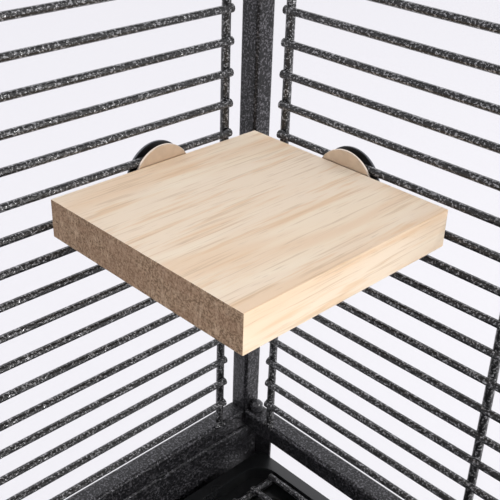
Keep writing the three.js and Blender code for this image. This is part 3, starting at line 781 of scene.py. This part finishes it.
# ---- Corner posts and frame bolts ----------------------------------------------------------------
# Square tubes with rounded edges stand between the walls' rails. A black, knurled and domed bolt
# head stands on each back and front rail, tight beside its post.
bolt_black = plastic("bolt_black", (0.02, 0.02, 0.022, 1), rough=0.22, grain=0.08 * MM)
RIDGES, RIDGE = 4, 1.15 * MM
RIDGE_SHAPE = ((0.2, 1), (0.7, 1), (0.95, 0.86))  # share of a ridge's height, of the head's radius
for corner in ("front_left", "front_right", "back_left", "back_right"):
    low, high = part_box("post_" + corner)
    fit(square_tube(low, high, "z"), "post_" + corner, tube_coat_painted_shade)
    low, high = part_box("frame_bolt_" + corner)
    middle, radius = (low + high) / 2, (high.x - low.x) / 2
    head = [(0, 0.8 * radius)]
    for ridge in range(RIDGES):
        head += [((ridge + share) * RIDGE, radius * size) for share, size in RIDGE_SHAPE]
    head += [(5.2 * MM, 0.84 * radius), (6.1 * MM, 0.6 * radius), (high.z - low.z, 0.25 * radius)]
    bolt = turned("z", (middle.x, middle.y, low.z), head, 20)
    fit(bolt, "frame_bolt_" + corner, bolt_black, 50)


# ---- Tray guides ---------------------------------------------------------------------------------
# Under each side rail lies a square tube with sheets welded to it: an apron under its inner face, a
# ledge that the tray slides on, and a plate at each end. The front plates clear the sliding tray.
def guide_block(side, low, high, radius=0.4 * MM, steps=2, along=None):
    """A rounded block; its x runs outward from the cage's middle, on either side."""
    xs = sorted((side * low[0], side * high[0]))
    made = block((xs[0], low[1], low[2]), (xs[1], high[1], high[2]))
    return round_edges(made, radius, steps, along)


tray_low, tray_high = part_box("tray")
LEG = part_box("leg_back_right")[1].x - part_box("leg_back_right")[0].x
ledge_top = tray_low.z - GAP
guide_top = RAIL - GAP
inner = HALF_W - TUBE
ledge_in = HALF_W - 31 * MM
seam = 0.2 * MM  # apron's inner face behind the tube's
RAIL_WELD, RAIL_WELD_END = (3 * MM, 9 * MM, 3.4 * MM), 80 * MM  # size, and place from the ends
for side, node in ((-1, "side_guide_left"), (1, "side_guide_right")):
    tube = ((inner, -HALF_D, guide_top - TUBE), (HALF_W, HALF_D, guide_top), TUBE_ROUND, 4, "y")
    apron_top, bottom = guide_top - TUBE + SHEET, ledge_top - SHEET
    sheets = [
        ((inner + seam, -HALF_D, bottom), (inner + SHEET, HALF_D, apron_top)),
        ((ledge_in, -HALF_D, bottom), (HALF_W, HALF_D, ledge_top)),
        ((HALF_W - LEG, -HALF_D, tray_high.z + 0.5 * MM), (HALF_W, SHEET - HALF_D, guide_top)),
        ((HALF_W - LEG, HALF_D - SHEET, bottom), (HALF_W, HALF_D, guide_top)),
    ]
    guide = [guide_block(side, *corners) for corners in (tube, *sheets)]
    for end in (-1, 1):
        at = (side * (inner + 1.2 * MM), end * (HALF_D - RAIL_WELD_END), RAIL)
        guide.append(weld(at, RAIL_WELD, 5, (10, 8)))
    fit(joined(guide), node, tube_coat_painted_shade)


# ---- Tray and grate ------------------------------------------------------------------------------
# The tray is moulded in black plastic: a flat rim, a shallow step that carries the grate, and a
# deep well. The grate is welded of wires across three rods and lies in the step.
def smooth_block(low, high, radius):
    return round_edges(block(low, high), radius, 8, along="z")


def ease_sharp(obj, width, segments):
    """Rounds the edges where faces meet at 50 degrees or more."""
    take(obj)
    ease = obj.modifiers.new("ease", "BEVEL")
    ease.width, ease.segments, ease.angle_limit = width, segments, math.radians(50)
    bpy.ops.object.modifier_apply(modifier="ease")


tray_black = plastic("tray_plastic", (0.006, 0.0065, 0.007, 1), rough=0.3, grain=0.05 * MM)
tray_half = Vector((tray_high.x, WIRES_Y + 12.8 * MM, 0))
step_half = Vector((WIRES_X - 10.4 * MM, WIRES_Y + 5 * MM, 0))
well_half = step_half - Vector((17 * MM, 8 * MM, 0))
grate_low, grate_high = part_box("grate")
TRAY_WALL = 2.2 * MM
LIP_HALF, LIP_FALL = 70 * MM, 20 * MM  # pull at the tray's front edge
rim, foot, step = tray_high.z, tray_low.z, grate_low.z - GAP
wall = Vector((TRAY_WALL, TRAY_WALL, 0))


def between(half, z0, z1):
    """The two corners of a block that reaches half each side of the middle."""
    return (-half.x, -half.y, z0), (half.x, half.y, z1)


tray = smooth_block(*between(tray_half, rim - TRAY_WALL, rim), 5 * MM)
pan = smooth_block(*between(step_half + wall, foot, rim - 1 * MM), 16 * MM)
round_edges(pan, 4 * MM, 4, wanted=at_heights(foot))
apply_boolean(tray, pan, "UNION")
lip_low = (-LIP_HALF, -tray_half.y - 3 * MM, rim - LIP_FALL)
lip = block(lip_low, (LIP_HALF, -tray_half.y + 1 * MM, rim))
apply_boolean(tray, round_edges(lip, 1.2 * MM, 3), "UNION")
apply_boolean(tray, smooth_block(*between(step_half, step, rim + 1 * MM), 14 * MM), "DIFFERENCE")
well = smooth_block(*between(well_half, foot + TRAY_WALL, step + 1 * MM), 14 * MM)
round_edges(well, 5 * MM, 4, wanted=lambda edge: all(v.co.z < foot + 3 * MM for v in edge.verts))
apply_boolean(tray, well, "DIFFERENCE")
ease_sharp(tray, 0.7 * MM, 2)
fit(tray, "tray", tray_black)

GRATE_WIRES = 31
GRATE_WELD, WELD_DROP = (3 * MM, 4.6 * MM, 3 * MM), 1.2 * MM
grate_z = grate_high.z - WIRE / 2
bar_z = grate_low.z + ROD / 2
grate_y, grate_x = grate_high.y - ROD / 2, grate_high.x - ROD / 2
spacing = 2 * grate_y / (GRATE_WIRES - 1)
first_grate_wire = plain_wire("x", (0, -grate_y, grate_z), -grate_x - STUB, grate_x + STUB)
grate = [repeat(first_grate_wire, GRATE_WIRES, (0, spacing, 0))]
for number, x in enumerate((-grate_x, 0, grate_x)):
    grate.append(plain_wire("y", (x, 0, bar_z), -grate_y - STUB, grate_y + STUB, ROD / 2, 12))
    bead = weld((x, -grate_y, grate_z - WELD_DROP), GRATE_WELD, number + 20)
    grate.append(repeat(bead, GRATE_WIRES, (0, spacing, 0)))
fit(joined(grate), "grate", wire_coat_painted_glints)


# ---- Stand: legs and shelf -----------------------------------------------------------------------
# Four square tube legs with rounded edges; a folded sheet shelf ties them together near the floor.
LEG_ROUND = 3.4 * MM
RIVET_LOW = 144 * MM
LEG_RIVET = [(0, 3.4 * MM), (0.5 * MM, 3.2 * MM), (0.9 * MM, 2.2 * MM), (1.1 * MM, 0.7 * MM)]
for corner in ("front_left", "front_right", "back_left", "back_right"):
    low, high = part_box("leg_" + corner)
    leg = square_tube(low, high, "z", LEG_ROUND)
    middle = (low + high) / 2
    sign = -1 if middle.y < 0 else 1
    for z in (RIVET_LOW, high.z - 14 * MM):
        steps = [(sign * (LEG / 2 - 0.9 * MM + along), radius) for along, radius in LEG_RIVET]
        leg = joined([leg, turned("y", (middle.x, middle.y - sign * 0.3 * MM, z), steps, 16)])
    fit(leg, "leg_" + corner, tube_coat_painted_shade)

shelf_low, shelf_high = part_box("bottom_shelf")
in_x, in_y = HALF_W - LEG - GAP, HALF_D - LEG - GAP
FOLD = 1.6 * MM
shelf = block((-in_x, shelf_low.y, shelf_low.z), (in_x, shelf_high.y, shelf_high.z))
across = block((shelf_low.x, -in_y, shelf_low.z), (shelf_high.x, in_y, shelf_high.z))
apply_boolean(shelf, across, "UNION")
ease_sharp(shelf, FOLD, 4)
for half_x, half_y in ((in_x, shelf_high.y), (shelf_high.x, in_y)):
    half = Vector((half_x - SHEET, half_y - SHEET, 0))
    inside = block(*between(half, shelf_low.z - 3 * MM, shelf_high.z - SHEET))
    apply_boolean(shelf, inside, "DIFFERENCE")
fit(shelf, "bottom_shelf", tube_coat_painted_shade)


# ---- Casters -------------------------------------------------------------------------------------
# Each is a pressed, zinc plated fork on a stem that swivels in the leg. A riveted axle through the
# fork carries a wheel with a black tyre on a grey hub.
tyre_rubber = plastic("wheel_rubber", (0.022, 0.022, 0.023, 1), rough=0.62, grain=0.1 * MM)
hub_grey = plastic("hub_grey", (0.16, 0.16, 0.165, 1), rough=0.4, grain=0.04 * MM)
TRAIL = 18 * MM
WHEEL_HALF, WHEEL_RADIUS, HUB_RADIUS = 9 * MM, 25 * MM, 17.6 * MM
AXLE = 3 * MM  # radius
FORK_IN, FORK_PLATE = WHEEL_HALF + 1 * MM, 2 * MM
FORK_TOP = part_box("leg_back_right")[0].z - GAP
FORK_BACK, FORK_FRONT = -14 * MM, 12 * MM
CHEEK = 8 * MM  # radius round the axle


def cheek(y):
    """One side of a fork: a pressed plate from the swivel down to the axle, with its hole."""
    plate = turned("y", (TRAIL, 0, WHEEL_RADIUS), [(y, CHEEK), (y + FORK_PLATE, CHEEK)], 32)
    head = block((FORK_BACK, y, FORK_TOP - 6 * MM), (FORK_FRONT, y + FORK_PLATE, FORK_TOP))
    plate = joined([plate, head])
    edit(plate)
    bpy.ops.mesh.select_all(action="SELECT")
    bpy.ops.mesh.convex_hull()
    plate = leave()
    hole = [(y - 1 * MM, AXLE + GAP), (y + 4 * MM, AXLE + GAP)]
    return apply_boolean(plate, turned("y", (TRAIL, 0, WHEEL_RADIUS), hole, 20), "DIFFERENCE")


def fork():
    out = FORK_IN + FORK_PLATE
    body = block((FORK_BACK, -out, FORK_TOP - 3 * MM), (FORK_FRONT, out, FORK_TOP))
    for y in (FORK_IN, -out):
        apply_boolean(body, cheek(y), "UNION")
    ease_sharp(body, 0.6 * MM, 2)
    stem = [(-4.4, 8), (-3.4, 9), (-0.6, 9), (0, 8.4), (0, 5), (29, 5), (30, 4)]
    stem = [(along * MM, radius * MM) for along, radius in stem]
    return joined([body, turned("z", (0, 0, FORK_TOP), stem, 28)])


def drilled(solid, axis, at, radius, reach):
    return apply_boolean(solid, turned(axis, at, [(-reach, radius), (reach, radius)], 24), "DIFFERENCE")


def wheel():
    """Half a section, from the hub's boss over its recess to the tread, and its mirror image."""
    boss = [(8.6, 5), (8.6, 6.4), (8.2, 7)]
    recess = [(5.5, 7), (5.5, 13), (8.2, 15), (8.2, 17.5)]
    tyre = [(9, 18), (9, 21.5), (8.2, 23.6), (6, 24.8), (2.4, 25)]
    half = [(-along * MM, radius * MM) for along, radius in boss + recess + tyre]
    steps = half + [(-along, radius) for along, radius in reversed(half)]
    made = drilled(turned("y", (0, 0, 0), steps, 48), "y", (0, 0, 0), AXLE + GAP, 20 * MM)
    made.data.materials.append(tyre_rubber)
    made.data.materials.append(hub_grey)
    for face in made.data.polygons:
        centre = face.center
        face.material_index = int(math.hypot(centre.x, centre.z) < HUB_RADIUS)
    return made


def axle():
    end = FORK_IN + FORK_PLATE + GAP
    half = [(-end - 2 * MM, 2.4 * MM), (-end - 1.6 * MM, 4 * MM), (-end - 0.5 * MM, 5 * MM)]
    half += [(-end, 5 * MM), (-end, AXLE)]
    return turned("y", (0, 0, 0), half + [(-along, radius) for along, radius in reversed(half)], 24)


for corner in ("front_left", "front_right", "back_left", "back_right"):
    low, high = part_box("leg_" + corner)
    middle = (low + high) / 2
    turn = math.pi if middle.x > 0 else 0
    place = Matrix.Translation((middle.x, middle.y, 0)) @ Matrix.Rotation(turn, 4, "Z")
    hub = place @ Matrix.Translation((TRAIL, 0, WHEEL_RADIUS))
    fit(settle(fork(), place), "caster_fork_" + corner, zinc)
    fit(settle(wheel(), hub), "caster_wheel_" + corner, None)
    fit(settle(axle(), hub), "caster_axle_" + corner, zinc)


# ---- Corner platform -----------------------------------------------------------------------------
# A planed pine board with its grain along the side wall. Its sawn end faces the front. Two bolts
# from its back edges pass between the wires, each with a broad washer on either side of them.
def pine(name, centre, axis, lean=(0.0, 0.0)):
    """Planed pine with its grain along an axis, which it may lean from a little."""
    finish = Finish(name, Specular_IOR_Level=0.3, Roughness=0.62)
    turn = (lean[0], 0, lean[1] + (math.pi / 2 if axis == "x" else 0))

    def streaks(size, stretch, **settings):
        """Noise of that scale, drawn out along the grain."""
        return finish.noise(finish.place(centre, (1, 1 / stretch, 1), turn), size, **settings)

    rings = streaks(230, 15, detail=3, distortion=0.5, roughness=0.6)
    late = finish.step(rings, 0.52, 0.64)
    bands = finish.step(streaks(52, 9, distortion=0.3), 0.46, 0.66)
    pale = finish.step(streaks(70, 7), 0.5, 0.68)
    hairs = finish.step(streaks(640, 30, roughness=0.6), 0.55, 0.66)
    pores = finish.step(streaks(1900, 22, detail=1), 0.64, 0.78)
    colour = finish.mix(bands * 0.6, (0.88, 0.735, 0.57, 1), (0.81, 0.58, 0.38, 1))
    colour = finish.mix(late * 0.55, colour, (0.78, 0.53, 0.31, 1))
    colour = finish.mix(pale * 0.6, colour, (0.92, 0.81, 0.64, 1))
    colour = finish.mix(hairs * 0.42, colour, (0.6, 0.42, 0.26, 1))
    colour = finish.mix(pores * 0.3, colour, (0.45, 0.31, 0.2, 1))
    finish.paint(Base_Color=colour, Normal=finish.bump(rings - hairs * 0.5 - pores * 0.8, 0.05 * MM))
    return finish.material


def end_grain(name, centre):
    """Sawn across: ring bands under torn, speckled fibres."""
    finish = Finish(name, Specular_IOR_Level=0.2, Roughness=0.85)
    here = finish.place(centre)
    fibres = finish.noise(here, 1000, detail=4, roughness=0.75)
    torn = finish.noise(finish.place(centre, (1, 1, 0.4), (0, 0.95, 0)), 420, detail=3, roughness=0.7)
    bands = finish.noise(finish.place(centre, (0.3, 1, 1), (0, 0.2, 0)), 110)
    colour = finish.mix(finish.step(fibres, 0.36, 0.66), (0.19, 0.12, 0.072, 1), (0.53, 0.365, 0.24, 1))
    colour = finish.mix(finish.step(torn, 0.5, 0.7) * 0.6, colour, (0.68, 0.5, 0.35, 1))
    colour = finish.mix(finish.step(bands, 0.45, 0.6) * 0.32, colour, (0.36, 0.22, 0.14, 1))
    finish.paint(Base_Color=colour, Normal=finish.bump(fibres + torn, 0.3 * MM))
    return finish.material


board_low, board_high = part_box("platform_board")
middle = (board_low + board_high) / 2
board = block(board_low, board_high)
round_edges(board, 0.5 * MM, 2)
board.data.materials.append(pine("pine", tuple(middle), "y", lean=(0.02, 0.05)))
board.data.materials.append(end_grain("pine_end", tuple(middle)))
for face in board.data.polygons:
    face.material_index = int(abs(face.normal.y) > 0.6)
bolt_z = middle.z
bolts = {"left": (LEFT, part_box("platform_bolt_left")), "back": (BACK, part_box("platform_bolt_back"))}
BOLT = 3 * MM  # radius
WASHER, WASHER_THICK = 17.4 * MM, 1.25 * MM  # radius, thickness
PAST_WASHER = WIRE / 2 + 2 * GAP + WASHER_THICK  # board's edge inside the wires, nut outside
BOLT_DEEP, BOLT_OUT = 32 * MM, 12 * MM
THREAD_START, THREAD_PITCH, THREADS = -2 * MM, 1 * MM, 16
NUT_HUB = [(0, 6 * MM), (4 * MM, 5.6 * MM), (6.6 * MM, 4.6 * MM), (7 * MM, 4.2 * MM)]
WING_IN, WING_OUT, WING_HALF = 3 * MM, 15 * MM, 1.4 * MM


def along_wall(place, box):
    """A bolt's place along its wall, in the wall's coordinates."""
    return (place.inverted() @ ((box[0] + box[1]) / 2)).x


def washer(out, x):
    """A flat washer stamped from sheet, its edges just eased."""
    ease = 0.25 * MM
    steps = [(out, WASHER - ease), (out + ease, WASHER), (out + WASHER_THICK - ease, WASHER)]
    disc = turned("y", (x, 0, bolt_z), steps + [(out + WASHER_THICK, WASHER - ease)], 72)
    return drilled(disc, "y", (x, 0, bolt_z), BOLT + GAP, 20 * MM)


def bolt(x):
    """A hanger bolt: plain in the board, then threaded to its end."""
    point = -PAST_WASHER - BOLT_DEEP
    steps = [(point, BOLT * 0.5), (point + 3 * MM, BOLT), (THREAD_START - 0.5 * MM, BOLT)]
    for turn in range(THREADS):
        along = THREAD_START + turn * THREAD_PITCH
        steps += [(along, 0.86 * BOLT), (along + 0.5 * THREAD_PITCH, BOLT)]
    return turned("y", (x, 0, bolt_z), steps + [(PAST_WASHER + BOLT_OUT, 0.8 * BOLT)], 16)


def wing_nut(x):
    """A cast nut: a tapered hub with a rounded wing each side."""
    start = PAST_WASHER + GAP
    hub = [(start + along, radius) for along, radius in NUT_HUB]
    nut = turned("y", (x, 0, bolt_z), hub, 28)
    for side in (-1, 1):
        near, far = sorted((x + side * WING_IN, x + side * WING_OUT))
        low = (near, start + 1 * MM, bolt_z - WING_HALF)
        wing = block(low, (far, start + 6.5 * MM, bolt_z + WING_HALF))
        round_edges(wing, 2.6 * MM, 5, along="z")
        apply_boolean(nut, round_edges(wing, 0.6 * MM, 2, wanted=bends_sharply), "UNION")
    return drilled(nut, "y", (x, 0, bolt_z), BOLT + GAP, 30 * MM)


# The outer washers' near-black tint is a painted dark reflection and painted shade, not the zinc's own
# colour.
zinc_painted_dark_reflection = plated("zinc_painted_dark_reflection", tint=(0.11, 0.115, 0.125, 1), rough=0.3, mottle=0.1)
# The inner washers' warm brown tint is a painted reflection of the pine board, not the zinc's own
# colour.
zinc_painted_pine_reflection = plated("zinc_painted_pine_reflection", tint=(0.7, 0.6, 0.5, 1), rough=0.34, mottle=0.06)
for side, (place, box) in bolts.items():
    x = along_wall(place, box)
    hole = [(-PAST_WASHER - BOLT_DEEP - 1 * MM, BOLT + GAP), (0, BOLT + GAP)]
    bore = settle(turned("y", (x, 0, bolt_z), hole, 24), place)
    apply_boolean(board, bore, "DIFFERENCE")
    fit(settle(bolt(x), place), "platform_bolt_" + side, zinc)
    inner_disc = settle(washer(-WIRE / 2 - GAP - WASHER_THICK, x), place)
    fit(inner_disc, "inner_washer_" + side, zinc_painted_pine_reflection)
    outer_disc = settle(washer(WIRE / 2 + GAP, x), place)
    fit(outer_disc, "outer_washer_" + side, zinc_painted_dark_reflection)
    fit(settle(wing_nut(x), place), "wing_nut_" + side, zinc)
fit(board, "platform_board", None)


# ---- Perches -------------------------------------------------------------------------------------
# Turned pine dowels with eased ends, slotted so that each end drops over one wire.
PERCH_EASE, SLOT_PAST = 1 * MM, 1 * MM  # SLOT_PAST: how far a slot's cut runs past the dowel
for node, axis in (("perch_high", "x"), ("perch_middle", "x"), ("perch_low", "y")):
    low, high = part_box(node)
    middle, half = (low + high) / 2, (high - low) / 2
    index = "xyz".index(axis)
    reach, radius = half[index], half.z
    tip, start = radius - PERCH_EASE, reach - PERCH_EASE
    steps = [(-reach, tip), (-start, radius), (start, radius), (reach, tip)]
    dowel = turned(axis, middle, steps, 32)
    wires = (WIRES_X if axis == "x" else WIRES_Y) - WIRE / 2 - GAP
    wide = radius + SLOT_PAST
    slot_half = Vector((wide, wide, WIRE / 2 + GAP))
    for sign in (-1, 1):
        slot_low, slot_high = middle - slot_half, middle + slot_half
        ends = sorted((sign * wires, sign * (reach + SLOT_PAST)))
        slot_low[index], slot_high[index] = ends
        apply_boolean(dowel, block(slot_low, slot_high), "DIFFERENCE")
    # The dowels show another part of the grain than the board does.
    grain_centre = tuple(middle + Vector((0, 0, 30 * MM)))
    fit(dowel, node, pine("pine_" + node, grain_centre, axis))


# ---- Floor and finish ----------------------------------------------------------------------------
# A broad pale floor lies under the casters. At the end the visual model's box is measured.
FLOOR_SIZE = 30
bpy.ops.object.select_all(action="DESELECT")
bpy.ops.mesh.primitive_plane_add(size=FLOOR_SIZE)
floor = bpy.context.object
floor.name = "floor"
pale_floor = Finish("pale_floor", Base_Color=(0.575, 0.57, 0.582, 1), Roughness=0.9)
floor.data.materials.append(pale_floor.material)
floor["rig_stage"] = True
low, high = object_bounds()
